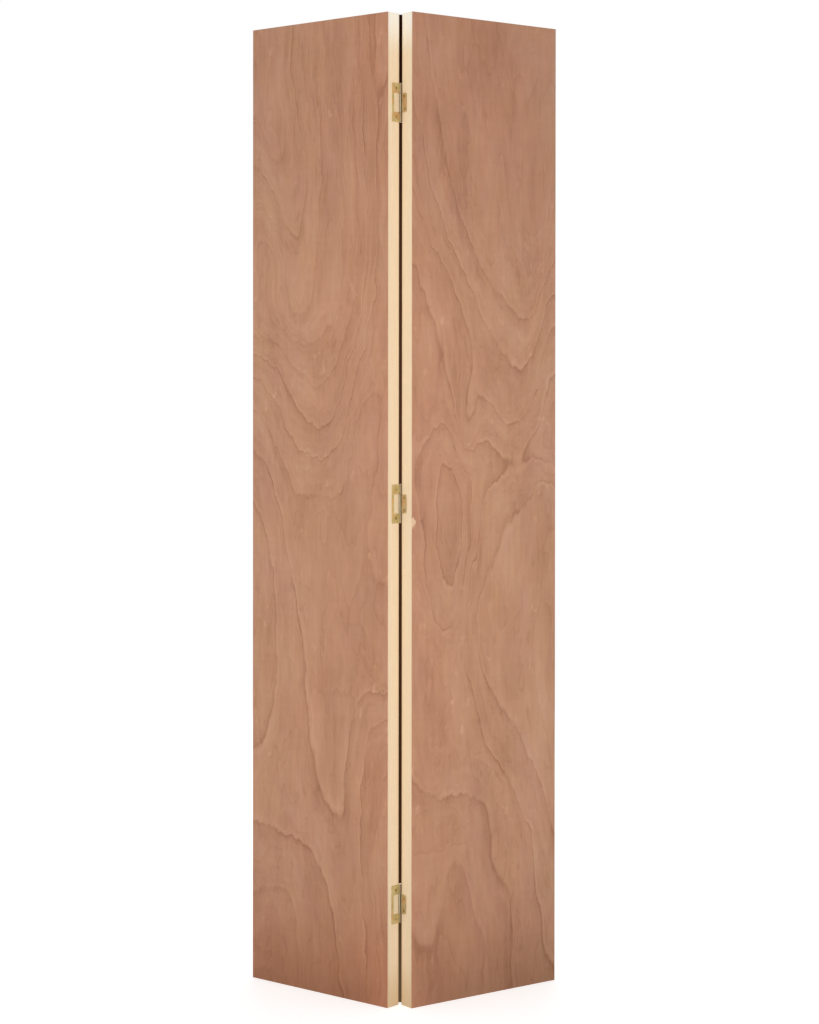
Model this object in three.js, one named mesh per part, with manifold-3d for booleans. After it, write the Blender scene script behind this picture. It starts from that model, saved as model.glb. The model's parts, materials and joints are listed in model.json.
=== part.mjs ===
// Flush bifold closet door: two hollow-core panels with plywood skins, joined by three
// interleaf hinges and standing half folded. Millimetres, +Z up, the fold points to -Y.
//
// The right panel is modelled as if the door were flat: the hinge axis is the Z axis, the panel
// runs outwards along +X and its back face lies just in front of the axis. The left panel is its
// mirror image. Each panel is then turned about the axis by half of the fold.

import * as THREE from "three";
import { mergeVertices } from "three/addons/utils/BufferGeometryUtils.js";
import Module from "manifold-3d";

const wasm = await Module();
wasm.setup();

// Panels
const panelHeight = 2006.6;
const panelWidth = 374.65;
const panelThickness = 34.925;
const foldHalfAngle = THREE.MathUtils.degToRad(37.9);

// Skins, glued to the frame
const skinThickness = 3.2;
const skinArris = 0.5;
const glueLine = 0.3;

// Frame of stiles and rails, butt jointed
const stileWidth = 31.75;
const railHeight = 57.15;
const jointGap = 0.3;

// Sockets for the pivots and the track guide, bored in both ends of the outer stiles
const socketRadius = 4.76;
const socketDepth = 38.1;
const socketInset = 20.6;

// Corrugated fasteners that hold the frame together while the skins are glued
const fastenerLength = 25.4;
const fastenerDepth = 9.5;
const fastenerSheet = 0.8;
const fastenerPitch = 6.35;
const fastenerSwing = 1.3;
const fastenerSink = 0.4;
const fastenerFit = 0.3;
const fastenerAboveSocket = 9.5;

// Block that the knob is screwed into
const blockWidth = 63.5;
const blockHeight = 304.8;
const knobHeight = 914.4;

// Expanded paper core
const corePaper = 1;
const coreRibbonPitch = 62;
const coreCellLength = 145;
const coreFlatShare = 0.2;
const coreFit = 0.6;

// Hinges
const hingeHeight = 78;
const topHingeDrop = 180.2;
const bottomHingeRise = 205.6;
const sheet = 1.4;
const seatGap = 0.3;
const closingGap = 0.5;
const pinRadius = 1.3;
const pinFit = 0.3;
const pinHeadRadius = 2.2;
const pinHeadHeight = 0.8;
const pinHeadBevel = 0.3;
const pinHeadFit = 0.3;
const knuckleFit = 0.3;
const knuckleSwage = THREE.MathUtils.degToRad(66);
const knuckleEnd = THREE.MathUtils.degToRad(-71);

// The frame plate on the left panel has a window that the insert plate on the right folds into
const framePlateReach = 22.6;
const framePlateCorner = 1.2;
const frameRim = 5.2;
const windowCorner = 2;
const nestFit = 0.6;
const insertPlateHeight = 38.2;
const insertPlateCorner = 4;

// Hinge screws
const frameScrewFromEnd = 10;
const frameScrewFromBack = 10.6;
const insertScrewSpacing = 25;
const insertScrewFromBack = 10;
const screwLength = 19;
const screwShankRadius = 1.75;
const screwHeadRadius = 3.3;
const screwRim = 0.2;
const screwPoint = 4.5;
const screwSink = 0.1;
const screwFit = 0.35;
const countersinkAngle = THREE.MathUtils.degToRad(41);
const driveLength = 3.4;
const driveWidth = 0.9;
const driveDepth = 1.1;
const driveTurn = THREE.MathUtils.degToRad(33);

// How far a cutting tool runs past what it cuts
const overrun = 1;

// Number of facets
const roundSegments = 16;
const screwSegments = 12;
const rollSegments = 16;
const bendSegments = 4;
const cornerSegments = 4;

// Sizes that follow from those above. A closed hinge is one sheet thick.
const knuckleRadius = pinRadius + pinFit + sheet;
const axisToBack = knuckleRadius + knuckleFit;
const edgeGap = sheet + seatGap + closingGap;
const panelStart = edgeGap / 2;
const panelEnd = panelStart + panelWidth;
const panelFront = -axisToBack - panelThickness;
const frameFront = panelFront + skinThickness + glueLine;
const frameBack = -axisToBack - skinThickness - glueLine;
const frameMiddle = (frameFront + frameBack) / 2;
const railStart = panelStart + stileWidth + jointGap;
const railEnd = panelEnd - stileWidth - jointGap;
const coreStart = railStart - jointGap + coreFit;
const coreEnd = railEnd + jointGap - coreFit;
const coreBottom = railHeight + coreFit;
const coreTop = panelHeight - railHeight - coreFit;
const plateMiddle = panelStart - seatGap - sheet / 2;
const windowHeight = insertPlateHeight + 2 * nestFit;
const windowReach = framePlateReach - frameRim;
const insertPlateReach = windowReach - nestFit;
const topHinge = panelHeight - topHingeDrop;
const hinges = [
  { name: "top_hinge", height: topHinge },
  { name: "middle_hinge", height: (topHinge + bottomHingeRise) / 2 },
  { name: "bottom_hinge", height: bottomHingeRise },
];
const frameScrewSpacing = hingeHeight - 2 * frameScrewFromEnd;
const frameScrewY = -axisToBack - frameScrewFromBack;
const insertScrewY = -axisToBack - insertScrewFromBack;

const veneer = new THREE.MeshStandardMaterial({ color: 0xb98a6a, roughness: 0.7, metalness: 0 });
const pine = new THREE.MeshStandardMaterial({ color: 0xecd2aa, roughness: 0.75, metalness: 0 });
const kraft = new THREE.MeshStandardMaterial({ color: 0xb18d62, roughness: 0.95, metalness: 0 });
const brass = new THREE.MeshStandardMaterial({ color: 0xb59c58, roughness: 0.35, metalness: 1 });
const steel = new THREE.MeshStandardMaterial({ color: 0x9a9a98, roughness: 0.4, metalness: 1 });

// A closed geometry as a solid that can be joined and cut. Triangles without area are left out.
function solidOf(geometry) {
  const bare = geometry.index ? geometry.toNonIndexed() : geometry.clone();
  bare.deleteAttribute("normal");
  bare.deleteAttribute("uv");
  const merged = mergeVertices(bare);
  const corners = Array.from(merged.index.array);
  const triangles = [];
  for (let i = 0; i < corners.length; i += 3) {
    const [a, b, c] = corners.slice(i, i + 3);
    if (a !== b && b !== c && c !== a) triangles.push(a, b, c);
  }
  const vertProperties = merged.attributes.position.array;
  const triVerts = new Uint32Array(triangles);
  return new wasm.Manifold(new wasm.Mesh({ numProp: 3, vertProperties, triVerts }));
}

function geometryOf(solid) {
  const { vertProperties, triVerts } = solid.getMesh();
  const geometry = new THREE.BufferGeometry();
  geometry.setAttribute("position", new THREE.BufferAttribute(vertProperties, 3));
  geometry.setIndex(new THREE.BufferAttribute(triVerts, 1));
  return geometry;
}

function cut(solid, tools) {
  return tools.reduce((left, tool) => left.subtract(tool), solid);
}

function join(solids) {
  return solids.reduce((whole, next) => whole.add(next));
}

// A shape drawn in X and Y, made solid between two heights.
function raise(shape, fromZ, toZ) {
  const geometry = new THREE.ExtrudeGeometry(shape, { depth: toZ - fromZ, bevelEnabled: false });
  return solidOf(geometry.translate(0, 0, fromZ));
}

// A shape drawn in X and Z, made solid between two values of Y.
function deepen(shape, fromY, toY) {
  const geometry = new THREE.ExtrudeGeometry(shape, { depth: toY - fromY, bevelEnabled: false });
  return solidOf(geometry.rotateX(Math.PI / 2).translate(0, toY, 0));
}

// A shape drawn in Y and Z, made solid between two values of X.
function widen(shape, fromX, toX) {
  const geometry = new THREE.ExtrudeGeometry(shape, {
    depth: toX - fromX,
    bevelEnabled: false,
    curveSegments: cornerSegments,
  });
  return solidOf(geometry.rotateX(Math.PI / 2).rotateZ(Math.PI / 2).translate(fromX, 0, 0));
}

function block(low, high) {
  const size = new THREE.Vector3().subVectors(high, low);
  const middle = new THREE.Vector3().addVectors(low, high).multiplyScalar(0.5);
  const geometry = new THREE.BoxGeometry(size.x, size.y, size.z);
  return solidOf(geometry.translate(middle.x, middle.y, middle.z));
}

// The outline of a thin strip that follows a line of points, mitred where the line bends.
function stripShape(line, thickness) {
  const normals = line.slice(1).map((point, i) => {
    const run = new THREE.Vector2().subVectors(point, line[i]).normalize();
    return new THREE.Vector2(-run.y, run.x);
  });
  const edge = (side) =>
    line.map((point, i) => {
      const before = normals[Math.max(i - 1, 0)];
      const after = normals[Math.min(i, normals.length - 1)];
      const mitre = before.clone().add(after).normalize();
      const reach = (side * thickness) / 2 / mitre.dot(before);
      return point.clone().addScaledVector(mitre, reach);
    });
  return new THREE.Shape([...edge(-1), ...edge(1).reverse()]);
}

// A mesh on the right panel, or its mirror image on the left one.
function piece(name, solid, material, isMirrored) {
  const geometry = geometryOf(solid);
  if (isMirrored) {
    const corners = geometry.index.array;
    geometry.scale(-1, 1, 1);
    for (let i = 0; i < corners.length; i += 3) {
      [corners[i], corners[i + 1]] = [corners[i + 1], corners[i]];
    }
  }
  geometry.computeVertexNormals();
  const mesh = new THREE.Mesh(geometry, material);
  mesh.name = name;
  return mesh;
}

// A plywood skin with its two long outer edges eased.
function skin(outerY, innerY) {
  const ease = Math.sign(innerY - outerY) * skinArris;
  const section = new THREE.Shape([
    new THREE.Vector2(panelStart, innerY),
    new THREE.Vector2(panelStart, outerY + ease),
    new THREE.Vector2(panelStart + skinArris, outerY),
    new THREE.Vector2(panelEnd - skinArris, outerY),
    new THREE.Vector2(panelEnd, outerY + ease),
    new THREE.Vector2(panelEnd, innerY),
  ]);
  return raise(section, 0, panelHeight);
}

function stile(fromX, tools) {
  const low = new THREE.Vector3(fromX, frameFront, 0);
  const high = new THREE.Vector3(fromX + stileWidth, frameBack, panelHeight);
  return cut(block(low, high), tools);
}

function rail(fromZ, tools) {
  const low = new THREE.Vector3(railStart, frameFront, fromZ);
  const high = new THREE.Vector3(railEnd, frameBack, fromZ + railHeight);
  return cut(block(low, high), tools);
}

// The bore of a pivot socket, which runs inwards from an end of the stile.
function socketBore(endZ, inwards) {
  const length = socketDepth + overrun;
  const bore = new THREE.CylinderGeometry(socketRadius, socketRadius, length, roundSegments);
  const middleZ = endZ + inwards * (socketDepth - length / 2);
  bore.rotateX(Math.PI / 2).translate(panelEnd - socketInset, frameMiddle, middleZ);
  return solidOf(bore);
}

// The four corners of the frame, where a fastener crosses from stile to rail clear of the socket.
function frameCorners() {
  const z = socketDepth + fastenerAboveSocket;
  const hingeSide = railStart - jointGap / 2;
  const outerSide = railEnd + jointGap / 2;
  return [
    { name: "bottom_inner", x: hingeSide, z },
    { name: "bottom_outer", x: outerSide, z },
    { name: "top_inner", x: hingeSide, z: panelHeight - z },
    { name: "top_outer", x: outerSide, z: panelHeight - z },
  ];
}

// The crimped line of a fastener: flat crests and troughs with slopes between them.
function fastenerLine(corner, stretch) {
  const quarters = 4 * Math.round(fastenerLength / fastenerPitch);
  const line = Array.from({ length: quarters + 1 }, (_, i) => {
    const swing = fastenerSwing * Math.sin((Math.PI / 2) * (i + 0.5));
    return new THREE.Vector2(corner.x + (i / quarters - 0.5) * fastenerLength, corner.z + swing);
  });
  const step = new THREE.Vector2(stretch, 0);
  line[0].sub(step);
  line[quarters].add(step);
  return line;
}

function fastener(corner) {
  const fromY = frameFront + fastenerSink;
  const shape = stripShape(fastenerLine(corner, 0), fastenerSheet);
  return deepen(shape, fromY, fromY + fastenerDepth);
}

function fastenerSlot(corner) {
  const toY = frameFront + fastenerSink + fastenerDepth + fastenerFit;
  const shape = stripShape(fastenerLine(corner, fastenerFit), fastenerSheet + 2 * fastenerFit);
  return deepen(shape, frameFront - overrun, toY);
}

// The knob block, or with a fit the space that the core leaves for it.
function knobBlock(fit) {
  const fromZ = knobHeight - blockHeight / 2;
  const low = new THREE.Vector3(railStart - fit, frameFront - fit, fromZ - fit);
  const high = new THREE.Vector3(
    railStart + blockWidth + fit,
    frameBack + fit,
    fromZ + blockHeight + fit,
  );
  return block(low, high);
}

// One paper ribbon of the core, which crosses from side to side as it climbs.
function coreRibbon(middle, pitch, firstSide) {
  const cells = Math.round((coreTop - coreBottom) / coreCellLength);
  const cellLength = (coreTop - coreBottom) / cells;
  const flat = coreFlatShare * cellLength;
  const slope = cellLength / 2 - flat;
  const at = (side, height) => new THREE.Vector2(middle + (side * pitch) / 2, height);
  const line = [at(firstSide, coreBottom)];
  for (let turn = 0; turn < 2 * cells; turn += 1) {
    const side = turn % 2 ? -firstSide : firstSide;
    const height = coreBottom + flat / 2 + turn * (slope + flat);
    line.push(at(side, height), at(-side, height + slope));
  }
  line.push(at(firstSide, coreTop));
  return deepen(stripShape(line, corePaper), frameFront, frameBack);
}

// Ribbons glued to each other where they meet, with room for the knob block.
function core() {
  const ribbons = Math.round((coreEnd - coreStart) / coreRibbonPitch);
  const pitch = (coreEnd - coreStart - corePaper) / ribbons;
  const papers = Array.from({ length: ribbons }, (_, i) => {
    const middle = coreStart + corePaper / 2 + pitch * (i + 0.5);
    return coreRibbon(middle, pitch, i % 2 ? 1 : -1);
  });
  return cut(join(papers), [knobBlock(coreFit)]);
}

// The bent line of a hinge plate: flat on the edge of the panel, swaged to one side of the pin
// and curled round it.
function plateLine(reach) {
  const curl = pinRadius + pinFit + sheet / 2;
  const bend = (plateMiddle + curl * Math.cos(knuckleSwage)) / (1 - Math.cos(knuckleSwage));
  const bendY = -(curl + bend) * Math.sin(knuckleSwage);
  const line = [new THREE.Vector2(plateMiddle, -axisToBack - reach)];
  for (let i = 0; i <= bendSegments; i += 1) {
    const turn = (knuckleSwage * i) / bendSegments;
    const x = plateMiddle - bend * (1 - Math.cos(turn));
    line.push(new THREE.Vector2(x, bendY + bend * Math.sin(turn)));
  }
  const start = Math.PI + knuckleSwage;
  for (let i = 1; i <= rollSegments; i += 1) {
    const angle = start + ((knuckleEnd - start) * i) / rollSegments;
    line.push(new THREE.Vector2(curl * Math.cos(angle), curl * Math.sin(angle)));
  }
  return line;
}

// The insert plate's outline in Y and Z, with rounded corners at the far edge.
function insertOutline(height) {
  const near = knuckleRadius + overrun;
  const far = -axisToBack - insertPlateReach;
  const top = height + insertPlateHeight / 2;
  const bottom = height - insertPlateHeight / 2;
  const corner = insertPlateCorner;
  const shape = new THREE.Shape();
  shape.moveTo(near, bottom);
  shape.lineTo(near, top);
  shape.absarc(far + corner, top - corner, corner, Math.PI / 2, Math.PI, false);
  shape.absarc(far + corner, bottom + corner, corner, Math.PI, 1.5 * Math.PI, false);
  return shape;
}

// The frame plate's outline: two tabs that reach the pin, tied by a rim along the far edge.
function frameOutline(height) {
  const near = knuckleRadius + overrun;
  const far = -axisToBack - framePlateReach;
  const top = height + hingeHeight / 2;
  const bottom = height - hingeHeight / 2;
  const corner = framePlateCorner;
  const windowFar = -axisToBack - windowReach + windowCorner;
  const windowTop = height + windowHeight / 2;
  const windowBottom = height - windowHeight / 2;
  const round = windowCorner;
  const shape = new THREE.Shape();
  shape.moveTo(near, windowTop);
  shape.lineTo(near, top);
  shape.absarc(far + corner, top - corner, corner, Math.PI / 2, Math.PI, false);
  shape.absarc(far + corner, bottom + corner, corner, Math.PI, 1.5 * Math.PI, false);
  shape.lineTo(near, bottom);
  shape.lineTo(near, windowBottom);
  shape.absarc(windowFar, windowBottom + round, round, 1.5 * Math.PI, Math.PI, true);
  shape.absarc(windowFar, windowTop - round, round, Math.PI, Math.PI / 2, true);
  return shape;
}

// A hinge plate: a curled blank, trimmed to its outline and countersunk for its screws.
function hingePlate(reach, outline, height, screwHoles) {
  const fromZ = height - hingeHeight / 2 - overrun;
  const toZ = height + hingeHeight / 2 + overrun;
  const blank = raise(stripShape(plateLine(reach), sheet), fromZ, toZ);
  const trim = widen(outline, -knuckleRadius - overrun, knuckleRadius + overrun);
  return cut(blank.intersect(trim), screwHoles);
}

function hingePin(height) {
  const bottom = height - hingeHeight / 2;
  const headBottom = height + hingeHeight / 2 + pinHeadFit;
  const headTop = headBottom + pinHeadHeight;
  const profile = [
    new THREE.Vector2(0, bottom),
    new THREE.Vector2(pinRadius, bottom),
    new THREE.Vector2(pinRadius, headBottom),
    new THREE.Vector2(pinHeadRadius, headBottom),
    new THREE.Vector2(pinHeadRadius, headTop - pinHeadBevel),
    new THREE.Vector2(pinHeadRadius - pinHeadBevel, headTop),
    new THREE.Vector2(0, headTop),
  ];
  return solidOf(new THREE.LatheGeometry(profile, roundSegments).rotateX(Math.PI / 2));
}

// A countersunk screw's body along +X from the face of the hinge plate. With a fit it is the
// hole for the screw instead, open at the head.
function screwBody(y, z, fit) {
  const open = fit ? overrun : 0;
  const cone = (screwHeadRadius - screwShankRadius) / Math.tan(countersinkAngle);
  const profile = [
    new THREE.Vector2(0, -open),
    new THREE.Vector2(screwHeadRadius + fit, -open),
    new THREE.Vector2(screwHeadRadius + fit, screwRim),
    new THREE.Vector2(screwShankRadius + fit, screwRim + cone),
    new THREE.Vector2(screwShankRadius + fit, screwLength - screwPoint + fit),
    new THREE.Vector2(0, screwLength + fit),
  ];
  const head = plateMiddle - sheet / 2 + screwSink;
  const geometry = new THREE.LatheGeometry(profile, screwSegments).rotateZ(-Math.PI / 2);
  return solidOf(geometry.translate(head, y, z));
}

// The cross recess in the head, turned as the screw happened to stop.
function screwDrive(y, z, turn) {
  const slots = [turn, turn + Math.PI / 2].map((angle) => {
    const geometry = new THREE.BoxGeometry(2 * driveDepth, driveLength, driveWidth);
    geometry.rotateX(angle);
    return solidOf(geometry.translate(plateMiddle - sheet / 2 + screwSink, y, z));
  });
  return join(slots);
}

function screw(y, z, turn) {
  return cut(screwBody(y, z, 0), [screwDrive(y, z, turn)]);
}

// The places of a plate's two screws, the upper one first.
function screwPlaces(height, spacing) {
  return [
    { name: "upper", z: height + spacing / 2 },
    { name: "lower", z: height - spacing / 2 },
  ];
}

// A panel without its hinges: skins, frame, fasteners, knob block and core.
function addPanel(group, name, screwY, screwSpacing, isMirrored) {
  const pilots = hinges.flatMap((hinge) =>
    screwPlaces(hinge.height, screwSpacing).map((place) => screwBody(screwY, place.z, screwFit)),
  );
  const sockets = [socketBore(0, 1), socketBore(panelHeight, -1)];
  const slots = frameCorners().map(fastenerSlot);
  const topRailZ = panelHeight - railHeight;
  const add = (part, solid, material) =>
    group.add(piece(`${name}_${part}`, solid, material, isMirrored));
  add("front_skin", skin(panelFront, frameFront - glueLine), veneer);
  add("back_skin", skin(-axisToBack, frameBack + glueLine), veneer);
  add("hinge_stile", stile(panelStart, [...pilots, ...slots]), pine);
  add("outer_stile", stile(panelEnd - stileWidth, [...sockets, ...slots]), pine);
  add("top_rail", rail(topRailZ, slots), pine);
  add("bottom_rail", rail(0, slots), pine);
  add("knob_block", knobBlock(0), pine);
  add("core", core(), kraft);
  frameCorners().forEach((corner) => add(`fastener_${corner.name}`, fastener(corner), steel));
}

// A hinge plate with its screws.
function addPlate(group, name, hinge, style, isMirrored) {
  const places = screwPlaces(hinge.height, style.screwSpacing);
  const holes = places.map((place) => screwBody(style.screwY, place.z, screwFit));
  const plate = hingePlate(style.reach, style.outline(hinge.height), hinge.height, holes);
  group.add(piece(`${name}_plate`, plate, brass, isMirrored));
  places.forEach((place, i) => {
    const turn = driveTurn * (hinges.indexOf(hinge) + i * hinges.length);
    const solid = screw(style.screwY, place.z, turn);
    group.add(piece(`${name}_screw_${place.name}`, solid, brass, isMirrored));
  });
}

const framePlate = {
  reach: framePlateReach,
  outline: frameOutline,
  screwY: frameScrewY,
  screwSpacing: frameScrewSpacing,
};
const insertPlate = {
  reach: insertPlateReach,
  outline: insertOutline,
  screwY: insertScrewY,
  screwSpacing: insertScrewSpacing,
};

const pivotPanel = new THREE.Group();
addPanel(pivotPanel, "pivot_panel", frameScrewY, frameScrewSpacing, true);
hinges.forEach((hinge) => {
  addPlate(pivotPanel, `${hinge.name}_frame`, hinge, framePlate, true);
  pivotPanel.add(piece(`${hinge.name}_pin`, hingePin(hinge.height), brass, true));
});
pivotPanel.rotation.z = -foldHalfAngle;

const leadPanel = new THREE.Group();
addPanel(leadPanel, "lead_panel", insertScrewY, insertScrewSpacing, false);
hinges.forEach((hinge) => {
  addPlate(leadPanel, `${hinge.name}_insert`, hinge, insertPlate, false);
});
leadPanel.rotation.z = foldHalfAngle;

// The door stands with the middle of its footprint at the origin.
const door = new THREE.Group();
door.name = "bifold_closet_door";
door.add(pivotPanel, leadPanel);
const footprint = new THREE.Box3().setFromObject(door, true);
door.position.y = -(footprint.min.y + footprint.max.y) / 2;

export default door;
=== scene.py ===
"""Bifold closet door, half folded: lauan veneer, pine edges and brass interleaf hinges."""
import json
import math

import bmesh
import bpy
from mathutils import Matrix, Vector


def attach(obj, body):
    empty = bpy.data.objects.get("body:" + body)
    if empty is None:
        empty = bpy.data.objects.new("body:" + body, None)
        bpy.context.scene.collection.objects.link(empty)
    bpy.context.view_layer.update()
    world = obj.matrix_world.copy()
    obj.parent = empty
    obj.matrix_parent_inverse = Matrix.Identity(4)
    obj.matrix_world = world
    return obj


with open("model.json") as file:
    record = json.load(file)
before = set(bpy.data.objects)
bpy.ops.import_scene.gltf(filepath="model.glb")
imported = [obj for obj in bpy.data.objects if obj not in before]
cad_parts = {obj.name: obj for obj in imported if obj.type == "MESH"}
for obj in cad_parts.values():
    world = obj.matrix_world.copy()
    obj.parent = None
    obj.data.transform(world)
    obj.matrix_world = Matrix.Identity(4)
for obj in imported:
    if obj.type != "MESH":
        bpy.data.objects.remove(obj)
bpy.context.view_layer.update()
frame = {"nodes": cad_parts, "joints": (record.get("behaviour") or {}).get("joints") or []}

# Lengths on the panels are millimetres: across from the hinge edge, deep from the front face, up
# from the foot.
MM_PER_METRE = 1000
fold = frame["joints"][0]
PIN_AXIS = Vector(fold["pos_m"])
HALF_FOLD = math.radians(-fold["range_deg"][0] / 2)
HEIGHT, WIDTH, THICKNESS = 2006.6, 374.65, 34.925
PANEL_START, AXIS_TO_BACK = 1.1, 3.3
SKIN, FACE_PLY, STILE, RAIL, GLUE = 3.2, 0.6, 31.75, 57.15, 0.3
SIDES = {"pivot_panel": -1, "lead_panel": 1}
HINGES = ("top_hinge", "middle_hinge", "bottom_hinge")

# How far each sheet of veneer is moved through the random grain, so that no two are alike.
SHEET_SHIFT, BACK_SHIFT, BACK_RAISE = 700, 350, 160
# How much painted shade each panel's veneer has at its top and at its foot.
TOP_PAINTED_SHADE = {"pivot_panel": .62, "lead_panel": 1.0}
FOOT_PAINTED_SHADE = {"pivot_panel": 1.0, "lead_panel": .35}
# The splinter lost beside the middle hinge: its middle, and how far it reaches across, deep and up.
CHIP = (0, 0, 979), (11, 1000, 10.5)
# Where the tree's pith runs beside the grain of a piece of pine: to the side, and deep.
UPRIGHT_PITH, LYING_PITH = (38, 74), (1040, 60)
# A reach so long that the place doesn't matter that way.
ENDLESS = 1e6

# The figure of each veneer sheet: growth rings at the foot of the hinge edge and rings gained per
# metre across and up, then the swellings of the log: where each is across and up, how far it reaches
# across and up, and its rise in rings.
LEFT_FIGURE = (11.95, -2.55, -6.73), [
    (56, 2206, 39, 440, 2.17), (54, 2184, 300, 544, 5.94), (265, 1805, 51, 186, 2.59),
    (281, 1716, 68, 237, -5.11), (311, 1602, 64, 207, 3.0), (-33, 1556, 91, 450, 4.42),
    (328, 1412, 158, 93, -1.25), (67, 1202, 62, 214, 2.15), (398, 980, 156, 479, 5.0),
    (162, 949, 98, 190, 3.02), (177, 917, 95, 134, -1.56), (15, 683, 53, 90, -0.93),
    (353, 393, 300, 153, -0.7), (31, 306, 89, 399, 3.52), (65, 28, 94, 490, -4.67),
    (228, -57, 53, 172, -1.59)]
RIGHT_FIGURE = (7.27, -3.2, -2.22), [
    (238, 1891, 268, 398, -1.83), (322, 1531, 70, 221, -1.72), (137, 1516, 102, 166, -1.8),
    (99, 1462, 77, 157, 2.03), (-22, 1462, 68, 430, 1.54), (369, 1260, 56, 268, 2.42),
    (135, 1162, 35, 101, -1.42), (386, 1105, 300, 83, 1.38), (355, 1054, 38, 70, -1.35),
    (103, 867, 69, 304, 3.99), (225, 739, 42, 136, 0.6), (135, 681, 104, 234, -4.15),
    (150, 627, 61, 134, 2.02), (369, 435, 93, 600, -1.8), (261, 287, 63, 334, -1.31),
    (219, 277, 112, 222, 2.59), (197, 262, 60, 139, -1.82)]
# How dark each growth ring's line is, as shares, from ring 0 to ring 13.
LEFT_RINGS = (.25, .8, .35, .35, .45, .85, .8, .45, 1, .9, .5, .4, .4, .4)
RIGHT_RINGS = (.1, .1, .6, 1, .7, .9, .8, .8, .5, .5, .5, .5, .5, .5)


def put(tree, kind, feeds=None, **settings):
    """Puts a shader node in a tree, sets it, and feeds its inputs with values or other outputs."""
    node = tree.nodes.new("ShaderNode" + kind)
    for name, value in settings.items():
        setattr(node, name, value)
    for name, value in (feeds or {}).items():
        if isinstance(value, bpy.types.NodeSocket):
            tree.links.new(value, node.inputs[name])
        else:
            node.inputs[name].default_value = value
    return node


def calc(tree, operation, *values):
    """A sum on numbers."""
    return put(tree, "Math", dict(enumerate(values)), operation=operation).outputs[0]


def move(tree, operation, *vectors):
    """A sum on places or directions."""
    node = put(tree, "VectorMath", dict(enumerate(vectors)), operation=operation)
    return node.outputs["Value" if operation in ("DOT_PRODUCT", "LENGTH") else "Vector"]


def cloud(tree, place, size, detail=2.0, output="Fac", roughness=.5):
    """Soft random variation from 0 to 1, each patch about `size` millimetres."""
    spread = move(tree, "DIVIDE", place, size)
    feeds = {"Vector": spread, "Scale": 1.0, "Detail": detail, "Roughness": roughness}
    return put(tree, "TexNoise", feeds).outputs[output]


def wander(tree, place, size, detail):
    """A random push from -.5 to .5 each way, which changes within about `size` millimetres."""
    return move(tree, "SUBTRACT", cloud(tree, place, size, detail, "Color"), (.5, .5, .5))


def ramp(tree, value, stops, smooth=True):
    """Turns a value from 0 to 1 into another value or a colour, by stops of (position, result)."""
    node = put(tree, "ValToRGB", {"Fac": value})
    node.color_ramp.interpolation = "EASE" if smooth else "LINEAR"
    steps = node.color_ramp.elements
    while len(steps) < len(stops):
        steps.new(0.5)
    for step, (position, result) in zip(steps, stops):
        step.position = position
        step.color = (*result, 1) if isinstance(result, tuple) else (result, result, result, 1)
    return node.outputs["Color"]


def part_of(tree, vector, axis):
    """The part of a place or direction along one axis: 0 across, 1 deep, 2 up."""
    return put(tree, "SeparateXYZ", {0: vector}).outputs[axis]


def mix(tree, share, first, second, blend="MIX"):
    """Lays the second colour over the first, by a share from 0 to 1."""
    node = put(tree, "Mix", data_type="RGBA", blend_type=blend)
    for socket, value in ((0, share), (6, first), (7, second)):
        if isinstance(value, bpy.types.NodeSocket):
            tree.links.new(value, node.inputs[socket])
        else:
            value = (*value, 1) if isinstance(value, tuple) else value
            node.inputs[socket].default_value = value
    return node.outputs[2]


def srgb(red, green, blue):
    """A colour from screen values of 0 to 255."""
    def linear(value):
        value /= 255
        return value / 12.92 if value <= .04045 else ((value + .055) / 1.055) ** 2.4
    return linear(red), linear(green), linear(blue)


def effect(name, takes, gives):
    """A shader node group: its tree, what comes in, and a function that hands a result out."""
    tree = bpy.data.node_groups.new(name, "ShaderNodeTree")
    for direction, sockets in (("INPUT", takes), ("OUTPUT", gives)):
        for label, kind in sockets.items():
            tree.interface.new_socket(label, in_out=direction, socket_type="NodeSocket" + kind)
    entry, end = tree.nodes.new("NodeGroupInput"), tree.nodes.new("NodeGroupOutput")
    return tree, entry.outputs, lambda label, socket: tree.links.new(socket, end.inputs[label])


def use(tree, group, **feeds):
    """Places a node group and gives its outputs."""
    named = {label.replace("_", " "): value for label, value in feeds.items()}
    return put(tree, "Group", named, node_tree=group).outputs


def finish(name, **settings):
    """A new material: its tree and its shader."""
    material = bpy.data.materials.new(name)
    material.use_nodes = True
    tree = material.node_tree
    shader = tree.nodes["Principled BSDF"]
    for label, value in settings.items():
        shader.inputs[label.replace("_", " ")].default_value = value
    return material, tree, shader


def relief(tree, shader, height, strength, distance):
    """Raises and sinks the surface by a height; the distance is in metres."""
    bump = put(tree, "Bump", {"Height": height, "Strength": strength, "Distance": distance})
    tree.links.new(bump.outputs[0], shader.inputs["Normal"])


def make_panel_place():
    """Where a point is on its panel laid flat, and which way its surface faces there."""
    tree, comes, give = effect("panel_place", {"Side": "Float"},
                               {"Place": "Vector", "Facing": "Vector"})
    spot = put(tree, "TexCoord").outputs
    flip = put(tree, "CombineXYZ", {0: comes["Side"], 1: 1.0, 2: 1.0}).outputs[0]

    def lay_flat(vector):
        return put(tree, "VectorRotate", {"Vector": vector, "Angle": -HALF_FOLD},
                   rotation_type="Z_AXIS").outputs[0]

    from_pin = move(tree, "MULTIPLY", move(tree, "SUBTRACT", spot["Object"], PIN_AXIS), flip)
    flat = move(tree, "SCALE", lay_flat(from_pin))
    flat.node.inputs["Scale"].default_value = MM_PER_METRE
    corner = Vector((PANEL_START, -AXIS_TO_BACK - THICKNESS, 0))
    give("Place", move(tree, "SUBTRACT", flat, corner))
    give("Facing", lay_flat(move(tree, "MULTIPLY", spot["Normal"], flip)))
    return tree


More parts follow.
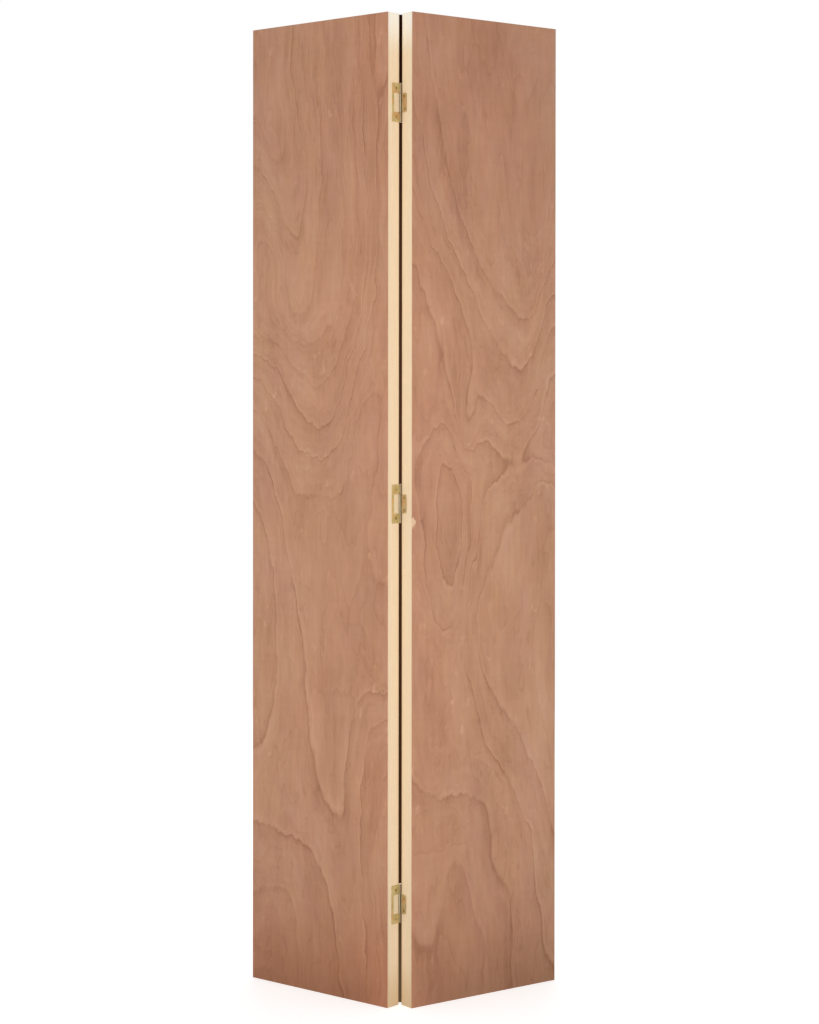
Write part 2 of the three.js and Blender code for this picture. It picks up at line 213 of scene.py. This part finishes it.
def make_swelling():
    """One swelling of the log, seen across the veneer."""
    takes = {"Place": "Vector", "Middle": "Vector", "Reach": "Vector", "Rise": "Float",
             "Rings": "Float"}
    tree, comes, give = effect("log_swelling", takes, {"Rings": "Float"})
    offset = move(tree, "SUBTRACT", comes["Place"], comes["Middle"])
    offset = move(tree, "DIVIDE", offset, comes["Reach"])
    far = move(tree, "DOT_PRODUCT", offset, offset)
    fall = calc(tree, "EXPONENT", calc(tree, "MULTIPLY", far, -1.0))
    give("Rings", calc(tree, "MULTIPLY_ADD", fall, comes["Rise"], comes["Rings"]))
    return tree


def make_figure(name, figure, darkness):
    """The growth rings that a sheet of veneer cuts, counted at each place, and how dark they are."""
    tree, comes, give = effect(name, {"Place": "Vector"}, {"Rings": "Float", "Darkness": "Float"})
    (start, across, up), swellings = figure
    gain = (across / MM_PER_METRE, 0, up / MM_PER_METRE)
    slope = move(tree, "DOT_PRODUCT", comes["Place"], gain)
    rings = calc(tree, "ADD", slope, start)
    for middle_across, middle_up, reach_across, reach_up, rise in swellings:
        rings = use(tree, swelling, Place=comes["Place"], Middle=(middle_across, 0, middle_up),
                    Reach=(reach_across, ENDLESS, reach_up), Rise=rise, Rings=rings)[0]
    give("Rings", rings)
    count = len(darkness)
    stops = [((ring + .5) / count, dark) for ring, dark in enumerate(darkness)]
    give("Darkness", ramp(tree, calc(tree, "DIVIDE", calc(tree, "ADD", rings, .5), count), stops))
    return tree


def make_grain_drift():
    """Moves a place a little, so that rings run unevenly and along torn fibres."""
    tree, comes, give = effect("grain_drift", {"Place": "Vector"}, {"Place": "Vector"})
    place = comes["Place"]
    long_waves = (85, 400, 290), (15, 0, 60), 1.0
    wriggles = (30, 400, 75), (30, 0, 24), 3.0
    torn_fibres = (13, 400, 80), (5, 0, 26), 3.0
    for size, reach, detail in (long_waves, wriggles, torn_fibres):
        push = wander(tree, comes["Place"], size, detail)
        place = move(tree, "MULTIPLY_ADD", push, reach, place)
    give("Place", place)
    return tree


def make_veneer():
    """Rotary-cut lauan: ring lines, fine bands between them, fibres, pores and changes of hue."""
    takes = {"Place": "Vector", "Rings": "Float", "Darkness": "Float", "Top": "Float",
             "Foot": "Float"}
    gives = {"Colour": "Color", "Relief": "Float", "Sheen": "Float"}
    tree, comes, give = effect("lauan_veneer", takes, gives)
    place, rings = comes["Place"], comes["Rings"]

    # A tone of .5 is the plain wood. A ring line has a pale rim, a dark edge and a slow fade.
    ring_line = ramp(tree, calc(tree, "FRACT", calc(tree, "ADD", rings, .5)), [
        (0, .5), (.36, .5), (.44, .62), (.475, .5), (.491, .22), (.514, .23), (.55, .37),
        (.66, .45), (.84, .5)], False)
    breaks = ramp(tree, cloud(tree, place, (60, 400, 150)), [(.34, .4), (.54, 1.0)])
    seen = calc(tree, "MULTIPLY", comes["Darkness"], breaks)
    tone = calc(tree, "MULTIPLY_ADD", calc(tree, "SUBTRACT", ring_line, .5), seen, .5)

    across, _, up = put(tree, "SeparateXYZ", {0: place}).outputs

    def along_rings(count, size, detail):
        """Variation that follows the rings, `count` times as fine, and changes within `size`."""
        spot = put(tree, "CombineXYZ", {0: calc(tree, "MULTIPLY", rings, count),
                                        1: calc(tree, "DIVIDE", across, size),
                                        2: calc(tree, "DIVIDE", up, size * 4)}).outputs[0]
        feeds = {"Vector": spot, "Scale": 1.0, "Detail": detail}
        return put(tree, "TexNoise", feeds).outputs["Fac"]

    minor_line = ramp(tree, along_rings(2.2, 60, 2.0), [
        (0, .5), (.33, .5), (.37, .6), (.39, .5), (.44, .5), (.48, .56), (.492, .5), (.5, .3),
        (.52, .44), (.56, .5), (.62, .5), (.65, .6), (.68, .5), (1, .5)], False)
    bands = along_rings(1.3, 90, 4.0)
    streaks = along_rings(6, 30, 1.5)
    fibres = cloud(tree, place, (1.2, 6, 34), 3.0)
    brushed = cloud(tree, place, (10, 400, 60), 1.0)
    ripple = cloud(tree, place, (110, 400, 9), 2.0)
    patches = cloud(tree, place, (90, 400, 170), 3.0)
    for value, gain in ((minor_line, .5), (bands, .5), (streaks, .15), (fibres, .06),
                        (brushed, .19), (ripple, .08), (patches, .35)):
        tone = calc(tree, "MULTIPLY_ADD", calc(tree, "SUBTRACT", value, .5), gain, tone)

    flecks = ramp(tree, cloud(tree, place, (15, 400, 26), 4.0), [(.6, 0.0), (.72, 1.0)])
    fleck_places = ramp(tree, cloud(tree, place, (70, 400, 90), 1.0), [(.52, 0.0), (.64, .2)])
    tone = calc(tree, "MULTIPLY_ADD", flecks, fleck_places, tone)
    pores = ramp(tree, cloud(tree, place, (.5, 3, 9), 1.0), [(.59, 0.0), (.68, 1.0)])
    tone = calc(tree, "MULTIPLY_ADD", pores, -.08, tone)
    hairs = ramp(tree, cloud(tree, place, (.35, 3, 14), 2.0), [(.3, .5), (.7, -.5)], False)
    tone = calc(tree, "MULTIPLY_ADD", hairs, .05, tone)
    wood = ramp(tree, tone, [
        (0, srgb(147, 98, 70)), (.25, srgb(168, 118, 88)), (.5, srgb(187, 137, 106)),
        (.75, srgb(200, 152, 121)), (1, srgb(213, 168, 136))], False)
    # Two slow changes of hue, each between two colours near white that are laid over the wood. The
    # wood is also redder beside the hinges than away from them.
    redness = cloud(tree, place, (130, 400, 280), 7.0, roughness=.85)
    redness = calc(tree, "MULTIPLY_ADD", across, -.0007, calc(tree, "ADD", .131, redness))
    yellowness = cloud(tree, place, (110, 300, 230), 7.0, roughness=.85)
    for share, low, high in ((redness, srgb(246, 261, 267), srgb(263, 248, 242)),
                             (yellowness, srgb(251, 249, 274), srgb(259, 260, 236))):
        wood = mix(tree, 1.0, wood, mix(tree, share, low, high), "MULTIPLY")
    # Painted shade: the wood is darker towards the top and at the foot, where less light falls.
    up = calc(tree, "DIVIDE", up, HEIGHT)
    top = calc(tree, "MULTIPLY", comes["Top"], ramp(tree, up, [(.66, 0.0), (.92, 1.0)]))
    wood = mix(tree, top, wood, srgb(243, 240, 240), "MULTIPLY")
    foot = calc(tree, "MULTIPLY", comes["Foot"], ramp(tree, up, [(0, 1.0), (.13, 0.0)]))
    wood = mix(tree, foot, wood, srgb(249, 232, 223), "MULTIPLY")
    give("Colour", wood)
    give("Relief", calc(tree, "MULTIPLY_ADD", pores, -1.0, fibres))
    give("Sheen", calc(tree, "MULTIPLY_ADD", streaks, -.16, .7))
    return tree


def make_pine():
    """Planed pine: growth rings round a pith outside it, arcs on its ends and lines along it."""
    takes = {"Place": "Vector", "Pith": "Vector", "End": "Float"}
    tree, comes, give = effect("planed_pine", takes, {"Colour": "Color", "Relief": "Float"})
    push = wander(tree, comes["Place"], (40, 40, 420), 2.0)
    from_pith = move(tree, "SUBTRACT", comes["Place"], comes["Pith"])
    spot = move(tree, "MULTIPLY_ADD", push, (9, 9, 0), from_pith)
    radius = move(tree, "LENGTH", move(tree, "MULTIPLY", spot, (1, 1, 0)))
    ring_width = 4.2
    years = calc(tree, "MULTIPLY_ADD", cloud(tree, comes["Place"], (30, 30, 900), 1.0), 1.4,
                 calc(tree, "DIVIDE", radius, ring_width))
    ring = ramp(tree, calc(tree, "FRACT", years), [
        (0, 0.0), (.55, .12), (.86, 1.0), (.93, .9), (1, 0.0)])
    fibres = cloud(tree, comes["Place"], (.9, .9, 90), 3.0)
    strength = calc(tree, "MULTIPLY_ADD", comes["End"], .45, .3)
    pale, dark = srgb(249, 230, 199), srgb(228, 194, 150)
    wood = mix(tree, calc(tree, "MULTIPLY", ring, strength), pale, dark)
    wood = mix(tree, ramp(tree, fibres, [(.3, .3), (.7, 0.0)]), wood, srgb(226, 192, 150))
    wood = mix(tree, calc(tree, "MULTIPLY", comes["End"], .35), wood, srgb(196, 156, 112))
    give("Colour", wood)
    give("Relief", calc(tree, "MULTIPLY_ADD", ring, .5, fibres))
    return tree


def make_tarnish():
    """Handled plate metal: cloudy dulling, small spots and fine rub marks."""
    takes = {"Place": "Vector", "Bright": "Color", "Dull": "Color", "Warm": "Color"}
    gives = {"Colour": "Color", "Roughness": "Float", "Relief": "Float"}
    tree, comes, give = effect("plate_tarnish", takes, gives)
    clouds = cloud(tree, comes["Place"], (11, 11, 16), 4.0)
    warmth = cloud(tree, move(tree, "ADD", comes["Place"], (37, 11, 5)), (14, 14, 12), 1.0)
    rubs = cloud(tree, comes["Place"], (3, 3, .35), 2.0)
    spots = ramp(tree, cloud(tree, comes["Place"], (1.6, 1.6, 1.6), 2.0), [(.66, 0.0), (.74, 1.0)])
    metal = mix(tree, ramp(tree, clouds, [(.35, 0.0), (.65, 1.0)]), comes["Bright"], comes["Dull"])
    metal = mix(tree, ramp(tree, warmth, [(.48, 0.0), (.66, .8)]), metal, comes["Warm"])
    metal = mix(tree, calc(tree, "MULTIPLY", spots, .4), metal, srgb(96, 80, 42))
    give("Colour", metal)
    rough = calc(tree, "MULTIPLY_ADD", rubs, .16, .28)
    give("Roughness", calc(tree, "MULTIPLY_ADD", clouds, .3, rough))
    give("Relief", calc(tree, "MULTIPLY_ADD", spots, -.6, rubs))
    return tree


panel_place = make_panel_place()
swelling = make_swelling()
grain_drift = make_grain_drift()
left_figure = make_figure("left_figure", LEFT_FIGURE, LEFT_RINGS)
right_figure = make_figure("right_figure", RIGHT_FIGURE, RIGHT_RINGS)
lauan = make_veneer()
pine = make_pine()
tarnish = make_tarnish()


def painted_edge_light(tree, spot, wood):
    """Bare wood beside the hinges: a painted highlight at the top and painted shade at the foot."""
    across, _, up = put(tree, "SeparateXYZ", {0: spot["Place"]}).outputs
    end = calc(tree, "ABSOLUTE", part_of(tree, spot["Facing"], 2))
    edge = calc(tree, "MULTIPLY", calc(tree, "LESS_THAN", across, STILE),
                calc(tree, "LESS_THAN", end, .5))
    up = calc(tree, "DIVIDE", up, HEIGHT)
    # Painted light: the edges are paler at the top and darker at the foot.
    painted_top_highlight = [(.955, 0.0), (.995, .8)], srgb(255, 250, 238)
    painted_foot_shade = [(0, .7), (.05, 0.0)], srgb(226, 196, 152)
    for stops, colour in (painted_top_highlight, painted_foot_shade):
        wood = mix(tree, calc(tree, "MULTIPLY", edge, ramp(tree, up, stops)), wood, colour)
    return wood


def skin_finish(panel, face, figure, shift, chip=None):
    """A skin of three plies: a lauan face and, inside its edges, pale inner plies."""
    material, tree, shader = finish(f"{panel}_{face}_veneer", Specular_IOR_Level=.35)
    spot = use(tree, panel_place, Side=SIDES[panel])
    depth = part_of(tree, spot["Place"], 1)
    if face == "back":
        depth = calc(tree, "SUBTRACT", THICKNESS, depth)
    moved = move(tree, "ADD", spot["Place"], shift)
    drifted = use(tree, grain_drift, Place=moved)[0]
    rings = use(tree, figure, Place=drifted)
    lauan_face = use(tree, lauan, Place=moved, Rings=rings["Rings"], Darkness=rings["Darkness"],
                     Top=TOP_PAINTED_SHADE[panel], Foot=FOOT_PAINTED_SHADE[panel])
    inner = mix(tree, cloud(tree, spot["Place"], (40, .5, 3), 2.0),
                srgb(249, 229, 198), srgb(233, 203, 163))
    ply = FACE_PLY / SKIN
    edge = ramp(tree, calc(tree, "DIVIDE", depth, SKIN), [(ply, 0.0), (ply + .03, 1.0)])
    wood = mix(tree, edge, lauan_face["Colour"], painted_edge_light(tree, spot, inner))
    height = lauan_face["Relief"]
    if chip:
        wood, height = chipped(tree, spot, chip, wood, height)
    tree.links.new(wood, shader.inputs["Base Color"])
    tree.links.new(lauan_face["Sheen"], shader.inputs["Roughness"])
    relief(tree, shader, height, .25, .0002)
    return material


def chipped(tree, spot, chip, wood, height):
    """A splinter lifted off the face ply, which bares the paler ply under it."""
    middle, reach = chip
    ragged = wander(tree, spot["Place"], (2.4, 400, 16), 3.0)
    offset = move(tree, "MULTIPLY_ADD", ragged, (3, 0, 26), spot["Place"])
    offset = move(tree, "SUBTRACT", offset, middle)
    far = move(tree, "LENGTH", move(tree, "DIVIDE", offset, reach))
    front = calc(tree, "LESS_THAN", part_of(tree, spot["Facing"], 1), -.4)
    bare = calc(tree, "MULTIPLY", front, ramp(tree, far, [(.88, 1.0), (.93, 0.0)]))
    # The dark ring round the bared ply is painted shade at the splinter's edge.
    rim = calc(tree, "MULTIPLY", front, ramp(tree, far, [(.86, 0.0), (.93, .6), (1.1, 0.0)]))
    under = mix(tree, cloud(tree, spot["Place"], (1.6, 400, 22), 3.0),
                srgb(244, 212, 176), srgb(210, 164, 128))
    wood = mix(tree, rim, mix(tree, bare, wood, under), srgb(150, 98, 70))
    return wood, calc(tree, "MULTIPLY_ADD", bare, -3.0, height)


def pine_finish(name, side, pith, lying=False):
    """Pine of the frame inside a panel, its grain upright, or lying across in a rail."""
    material, tree, shader = finish(name, Roughness=.6, Specular_IOR_Level=.35)
    spot = use(tree, panel_place, Side=side)
    place = spot["Place"]
    if lying:
        across, deep, up = put(tree, "SeparateXYZ", {0: place}).outputs
        place = put(tree, "CombineXYZ", {0: up, 1: deep, 2: across}).outputs[0]
    end = calc(tree, "ABSOLUTE", part_of(tree, spot["Facing"], 0 if lying else 2))
    wood = use(tree, pine, Place=place, Pith=pith, End=calc(tree, "GREATER_THAN", end, .7))
    tree.links.new(painted_edge_light(tree, spot, wood["Colour"]), shader.inputs["Base Color"])
    relief(tree, shader, wood["Relief"], .2, .0002)
    return material


def plate_finish(name, side, bright, dull, warm, bend=None, front=None, flank=None):
    """Dull metal of a hinge, with painted shade in the bend, and painted light and shade where it
    curls round the pin, lighter or darker by which way the curl faces.

    `bend` is where the painted shade starts behind the panel's back, how far it goes, and its
    colour.
    `front` and `flank` are the curl's painted colours where it faces forward and where it faces its
    panel.
    """
    material, tree, shader = finish(name, Metallic=1.0)
    spot = use(tree, panel_place, Side=side)
    metal = use(tree, tarnish, Place=spot["Place"], Bright=(*bright, 1), Dull=(*dull, 1),
                Warm=(*warm, 1))
    colour = metal["Colour"]
    if bend:
        deep = part_of(tree, spot["Place"], 1)
        facing = put(tree, "SeparateXYZ", {0: spot["Facing"]}).outputs
        # Painted highlight and painted shade: the curl round the pin takes a colour by which way it
        # faces.
        curled = calc(tree, "GREATER_THAN", deep, THICKNESS - .4)
        for way, own in ((1, front), (0, flank)):
            turned = ramp(tree, calc(tree, "MULTIPLY", facing[way], -1.0), [(.35, 0.0), (.65, .9)])
            colour = mix(tree, calc(tree, "MULTIPLY", curled, turned), colour, own)
        # Painted shade in the bend behind the panel's back.
        start, length, bend_shade = bend
        inside = calc(tree, "DIVIDE", calc(tree, "SUBTRACT", deep, THICKNESS + start), length)
        bend_shade_share = ramp(tree, inside, [(0, 0.0), (.2, .92), (.85, .92), (1, 0.0)])
        colour = mix(tree, bend_shade_share, colour, bend_shade)
    tree.links.new(colour, shader.inputs["Base Color"])
    tree.links.new(metal["Roughness"], shader.inputs["Roughness"])
    relief(tree, shader, metal["Relief"], .2, .0001)
    return material


def glue_finish(name, side):
    """Dried wood glue, honey coloured, thicker in some places than in others."""
    material, tree, shader = finish(name, Roughness=.5)
    spot = use(tree, panel_place, Side=side)
    beads = cloud(tree, spot["Place"], (6, 6, 14), 3.0)
    glue = mix(tree, beads, srgb(238, 208, 168), srgb(218, 182, 134))
    tree.links.new(glue, shader.inputs["Base Color"])
    relief(tree, shader, beads, .3, .0002)
    return material


def kraft_finish():
    """Brown kraft paper with short fibres and faint creases."""
    material, tree, shader = finish("kraft_paper", Roughness=.9)
    spot = use(tree, panel_place, Side=1)
    fibres = cloud(tree, spot["Place"], (.7, .7, 4), 4.0)
    creases = cloud(tree, spot["Place"], (30, 30, 5), 2.0)
    paper = mix(tree, fibres, srgb(160, 126, 86), srgb(196, 164, 120))
    paper = mix(tree, ramp(tree, creases, [(.5, 0.0), (.62, .3)]), paper, srgb(132, 100, 66))
    tree.links.new(paper, shader.inputs["Base Color"])
    relief(tree, shader, fibres, .4, .0003)
    return material


# A panel's back has the other sheet's figure.
figures = {"pivot_panel": (left_figure, right_figure), "lead_panel": (right_figure, left_figure)}
finishes = {}
for panel, side in SIDES.items():
    front_figure, back_figure = figures[panel]
    own = SHEET_SHIFT * side
    finishes[panel, "front_skin"] = skin_finish(
        panel, "front", front_figure, (0, own, 0), CHIP if panel == "lead_panel" else None)
    finishes[panel, "back_skin"] = skin_finish(
        panel, "back", back_figure, (0, own + BACK_SHIFT, BACK_RAISE))
    across, deep = UPRIGHT_PITH
    upright = pine_finish(f"{panel}_upright_pine", side, (-across * side, deep, 0))
    up, deep = LYING_PITH
    lying = pine_finish(f"{panel}_lying_pine", side, (up, -deep * side, 0), lying=True)
    for part in ("hinge_stile", "outer_stile", "knob_block"):
        finishes[panel, part] = upright
    for part in ("top_rail", "bottom_rail"):
        finishes[panel, part] = lying
    finishes[panel, "glue"] = glue_finish(f"{panel}_glue", side)

kraft = kraft_finish()
steel = plate_finish(
    "bright_steel", 1, srgb(205, 205, 203), srgb(160, 160, 158), srgb(188, 182, 170))
# The last three colours of each plate are painted: shade in the bend, and light and shade on the
# curl.
frame_brass = plate_finish(
    "frame_plate_brass", -1, srgb(220, 211, 168), srgb(202, 191, 140), srgb(224, 187, 136),
    (-.1, .9, srgb(170, 150, 104)), srgb(216, 212, 198), srgb(124, 98, 70))
insert_brass = plate_finish(
    "insert_plate_brass", 1, srgb(220, 206, 170), srgb(202, 187, 144), srgb(212, 180, 138),
    (-1.5, 2.6, srgb(58, 47, 26)), srgb(180, 172, 140), srgb(192, 188, 164))
screw_brass = plate_finish(
    "screw_brass", 1, srgb(206, 190, 140), srgb(176, 158, 108), srgb(190, 152, 100))
pin_brass = plate_finish(
    "pin_brass", 1, srgb(216, 210, 184), srgb(180, 172, 140), srgb(200, 180, 142))


def dress(node, material):
    """Gives a CAD node its finish."""
    for slot in frame["nodes"][node].material_slots:
        slot.material = material


for panel in SIDES:
    for part in ("front_skin", "back_skin", "hinge_stile", "outer_stile", "top_rail", "bottom_rail",
                 "knob_block"):
        dress(f"{panel}_{part}", finishes[panel, part])
    dress(f"{panel}_core", kraft)
    for end in ("bottom", "top"):
        for row in ("inner", "outer"):
            dress(f"{panel}_fastener_{end}_{row}", steel)
for hinge in HINGES:
    dress(f"{hinge}_frame_plate", frame_brass)
    dress(f"{hinge}_insert_plate", insert_brass)
    dress(f"{hinge}_pin", pin_brass)
    for plate in ("frame", "insert"):
        for place in ("upper", "lower"):
            dress(f"{hinge}_{plate}_screw_{place}", screw_brass)


def panel_point(side, across, deep, up):
    """A place on a panel, as the folded door has it in the room."""
    along, out = across + PANEL_START, deep - AXIS_TO_BACK - THICKNESS
    turned = Matrix.Rotation(HALF_FOLD, 2) @ Vector((along, out))
    return Vector((side * turned.x, turned.y, up)) / MM_PER_METRE + PIN_AXIS


def glue_line(panel, face, deep):
    """The thin bed of glue between a skin and the frame, a ring as wide as stiles and rails."""
    inset, slack = .12, .03
    outer = (inset, inset, WIDTH - inset, HEIGHT - inset)
    inner = (STILE, RAIL, WIDTH - STILE, HEIGHT - RAIL)
    mesh = bmesh.new()
    rings = []
    for left, low, right, high in (outer, inner):
        for depth in (deep + slack, deep + GLUE - slack):
            corners = ((left, depth, low), (right, depth, low), (right, depth, high),
                       (left, depth, high))
            rings.append([mesh.verts.new(panel_point(SIDES[panel], *spot)) for spot in corners])
    for first, second in ((0, 1), (1, 3), (3, 2), (2, 0)):
        for here in range(4):
            there = (here + 1) % 4
            mesh.faces.new((rings[first][here], rings[first][there],
                            rings[second][there], rings[second][here]))
    bmesh.ops.recalc_face_normals(mesh, faces=mesh.faces)
    data = bpy.data.meshes.new(f"{panel}_{face}_glue_line")
    mesh.to_mesh(data)
    data.materials.append(finishes[panel, "glue"])
    piece = bpy.data.objects.new(data.name, data)
    bpy.context.scene.collection.objects.link(piece)
    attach(piece, panel)


for panel in SIDES:
    glue_line(panel, "front", SKIN)
    glue_line(panel, "back", THICKNESS - SKIN - GLUE)


def sheet(name, corners, material):
    """A flat sheet of the studio, which is no part of the door."""
    mesh = bpy.data.meshes.new(name)
    mesh.from_pydata(corners, [], [range(len(corners))])
    mesh.materials.append(material)
    piece = bpy.data.objects.new(name, mesh)
    bpy.context.scene.collection.objects.link(piece)
    return piece


def floor_finish():
    """White paper that keeps the door's shadow. Near the door's foot it gives little light back."""
    material, tree, shader = finish("white_paper", Roughness=.9, Specular_IOR_Level=0.0)
    seen = put(tree, "LightPath").outputs["Is Camera Ray"]
    spot = put(tree, "TexCoord").outputs["Object"]
    distance = move(tree, "LENGTH", move(tree, "MULTIPLY", spot, (.9, 1.3, 0)))
    distance = calc(tree, "SUBTRACT", distance, .1)
    sideways = calc(tree, "ABSOLUTE", part_of(tree, spot, 0))
    dim = calc(tree, "MULTIPLY", ramp(tree, distance, [(.2, 1.0), (.45, 0.0)]),
               ramp(tree, sideways, [(.02, .3), (.14, 1.0)]))
    paper = mix(tree, dim, srgb(250, 248, 246), srgb(84, 62, 42))
    tree.links.new(mix(tree, seen, paper, srgb(231, 231, 231)), shader.inputs["Base Color"])
    shader.inputs["Emission Color"].default_value = (1, 1, 1, 1)
    tree.links.new(calc(tree, "MULTIPLY", seen, .5), shader.inputs["Emission Strength"])
    return material


def painted_gap_shade_finish():
    """A glowing sheet of painted shade for the dark gap between the leaves, a little paler lower
    down. It shows to the front alone.
    """
    material, tree, shader = finish("painted_gap_shade", Roughness=1.0, Specular_IOR_Level=0.0)
    height = part_of(tree, put(tree, "TexCoord").outputs["Object"], 2)
    shade = ramp(tree, calc(tree, "DIVIDE", height, 2.0), [
        (0, srgb(92, 72, 52)), (.15, srgb(58, 36, 19)), (.7, srgb(70, 46, 32)),
        (1, srgb(30, 12, 3))])
    shader.inputs["Base Color"].default_value = (0, 0, 0, 1)
    shader.inputs["Emission Strength"].default_value = 1
    tree.links.new(shade, shader.inputs["Emission Color"])
    behind = put(tree, "NewGeometry").outputs["Backfacing"]
    tree.links.new(calc(tree, "SUBTRACT", 1.0, behind), shader.inputs["Alpha"])
    return material


# In metres: how far the floor reaches each way, and where the strip of painted shade behind the gap
# stands.
FLOOR = 14
sheet("floor", [(-FLOOR, -FLOOR, 0), (FLOOR, -FLOOR, 0), (FLOOR, FLOOR, 0), (-FLOOR, FLOOR, 0)],
      floor_finish())
left, right, low, high, behind = -.006, .004, .002, 2.0064, PIN_AXIS.y + .009
# A sheet of painted shade that glows dark in the gap between the leaves.
painted_gap_shade = sheet("painted_gap_shade", [(left, behind, low), (right, behind, low), (right, behind, high),
                                (left, behind, high)], painted_gap_shade_finish())
for rays in ("visible_diffuse", "visible_glossy", "visible_shadow"):
    setattr(painted_gap_shade, rays, False)


def lamp(name, place, aim, size, power):
    """A soft lamp, as wide and high as `size` in metres, its power in watts."""
    light = bpy.data.lights.new(name, "AREA")
    light.shape, light.size, light.size_y, light.energy = "RECTANGLE", *size, power
    holder = bpy.data.objects.new(name, light)
    holder.location = place
    holder.rotation_euler = (Vector(aim) - Vector(place)).to_track_quat("-Z", "Y").to_euler()
    bpy.context.scene.collection.objects.link(holder)


lamp("left_softbox", (-2.6, -3.6, .95), (0, 0, .85), (2.0, 2.0), 46)
lamp("right_softbox", (2.6, -3.6, .95), (0, 0, .85), (2.0, 2.0), 47)
lamp("rear_softbox", (0, 3.6, 2.2), (0, 0, 1.2), (2.4, 1.6), 40)

# The room is white to the camera and in what mirrors it, and lights the door less than that.
world = bpy.data.worlds.new("white_room")
bpy.context.scene.world = world
world.use_nodes = True
room = world.node_tree
path = put(room, "LightPath").outputs
seen = calc(room, "MAXIMUM", path["Is Camera Ray"],
            calc(room, "MAXIMUM", path["Is Glossy Ray"], path["Is Transmission Ray"]))
ROOM_LIGHT = .62
strength = calc(room, "MULTIPLY_ADD", seen, 1 - ROOM_LIGHT, ROOM_LIGHT)
room.links.new(strength, room.nodes["Background"].inputs["Strength"])
room.nodes["Background"].inputs["Color"].default_value = (1, 1, 1, 1)

# The camera stands where the photograph was taken from.
lens = bpy.data.cameras.new("camera")
lens.sensor_width, lens.lens, lens.shift_y = 36, 78.79, -.0995
lens.clip_start, lens.clip_end = .05, 60
STAND, YAW, DOWN, ROLL = (.16, -4.6329, 1.2427), 1.79, .469, .046
camera = bpy.data.objects.new("camera", lens)
camera.matrix_world = (Matrix.Translation(STAND)
                       @ Matrix.Rotation(math.radians(YAW), 4, "Z")
                       @ Matrix.Rotation(math.radians(90 - DOWN), 4, "X")
                       @ Matrix.Rotation(math.radians(ROLL), 4, "Z"))
bpy.context.scene.collection.objects.link(camera)
bpy.context.scene.camera = camera
bpy.context.scene.view_settings.view_transform = "Standard"
